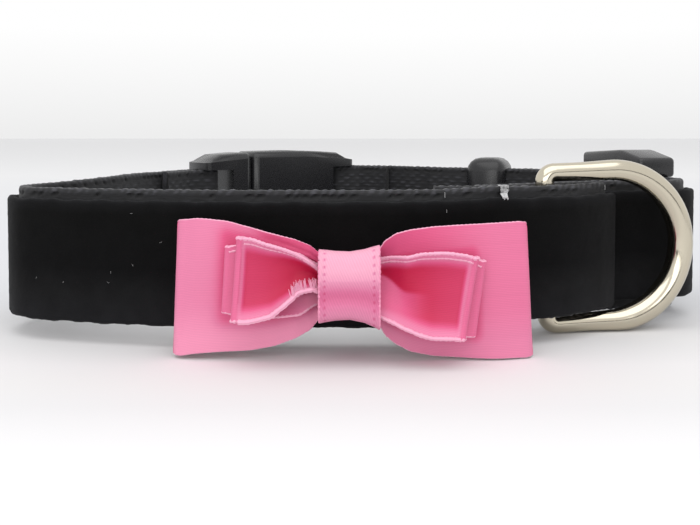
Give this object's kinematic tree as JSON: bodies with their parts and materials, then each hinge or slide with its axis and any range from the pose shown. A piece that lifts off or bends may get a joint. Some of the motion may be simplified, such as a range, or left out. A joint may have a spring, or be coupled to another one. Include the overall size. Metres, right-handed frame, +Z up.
{
  "type": "cat collar",
  "caption": "Cat collar, a closed loop of black webbing faced with velvet ribbon, standing on its edge, with a pink satin bow, a D-ring, a slider, a keeper and a fastened side-release buckle.",
  "frame": {"origin": "on the surface that the collar stands on, under the middle of its outline", "axes": "+X to the right of the bow, along the loop's width; +Y from the bow to the back of the loop; +Z up, along the strap's width"},
  "size_m": [0.0862, 0.0758, 0.0208],
  "materials": {
    "webbing": "woven black polypropylene webbing",
    "velvet": "black velvet ribbon, short pile",
    "nickel": "bright nickel plate",
    "acetal": "moulded black acetal, satin",
    "satin": "pink polyester satin ribbon"
  },
  "bodies": {
    "collar": {"front_webbing": "webbing", "side_webbing": "webbing", "back_webbing": "webbing", "front_velvet": "velvet", "side_velvet": "velvet", "back_velvet": "velvet", "slider": "acetal", "strap_keeper": "acetal", "buckle_plug": "acetal", "buckle_socket": "acetal", "bow_back_ribbon": "satin", "bow_middle_ribbon": "satin", "bow_front_ribbon": "satin", "bow_knot": "satin"},
    "ring": {"d_ring": "nickel"}
  },
  "joints": [
    {"name": "d_ring_swing", "type": "hinge", "parent": "collar", "child": "ring", "pos_m": [0.02089, -0.02218, 0.01005], "axis": [-0.0258, -0.0045, 0.9997], "range_deg": [-85, 5]}
  ]
}
